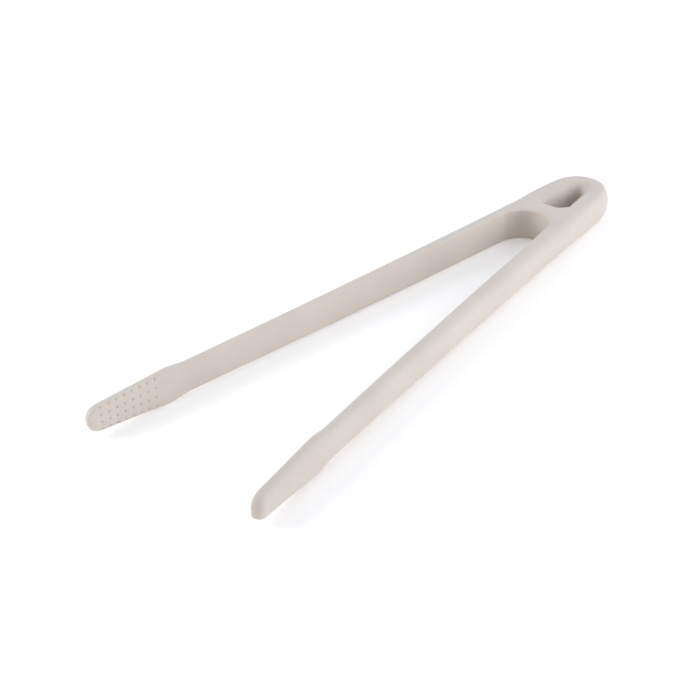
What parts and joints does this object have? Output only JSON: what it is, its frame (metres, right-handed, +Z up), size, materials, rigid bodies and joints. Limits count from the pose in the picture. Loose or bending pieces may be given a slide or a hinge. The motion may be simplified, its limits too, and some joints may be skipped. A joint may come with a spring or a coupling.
{
  "type": "kitchen tongs",
  "caption": "One-piece style sprung kitchen tongs: rubber-skinned hoop with a hanging hole, a web, and two D-section arms with dimpled grip paddles.",
  "frame": {"origin": "middle of the outline, on the surface that the tongs lie on", "axes": "+X from the hoop to the tips, +Y to the left arm, +Z up across the height of the arms"},
  "size_m": [0.2798, 0.0844, 0.0146],
  "materials": {
    "rubber_skin": "matt, warm off-white silicone rubber",
    "spring_steel": "satin spring steel strip",
    "filled_nylon": "matt glass-filled nylon",
    "rivet_steel": "satin steel"
  },
  "bodies": {
    "hoop": {"hoop_jacket": "rubber_skin", "spring_band": "spring_steel"},
    "left_arm": {"left_arm_jacket": "rubber_skin", "left_arm_core": "filled_nylon", "left_rivets": "rivet_steel"},
    "right_arm": {"right_arm_jacket": "rubber_skin", "right_arm_core": "filled_nylon", "right_rivets": "rivet_steel"}
  },
  "joints": [
    {"name": "left_arm_flex", "type": "hinge", "parent": "hoop", "child": "left_arm", "pos_m": [-0.08045, 0.01497, 0.0073], "axis": [0, 0, -1], "range_deg": [0, 9.7], "stiffness_Nm_per_rad": 2.5, "deforming": ["spring_band"]},
    {"name": "right_arm_flex", "type": "hinge", "parent": "hoop", "child": "right_arm", "pos_m": [-0.08045, -0.01497, 0.0073], "axis": [0, 0, 1], "range_deg": [0, 9.7], "stiffness_Nm_per_rad": 2.5, "deforming": ["spring_band"]}
  ],
  "couplings": [
    {"joint": "right_arm_flex", "follows": "left_arm_flex", "ratio": 1}
  ]
}
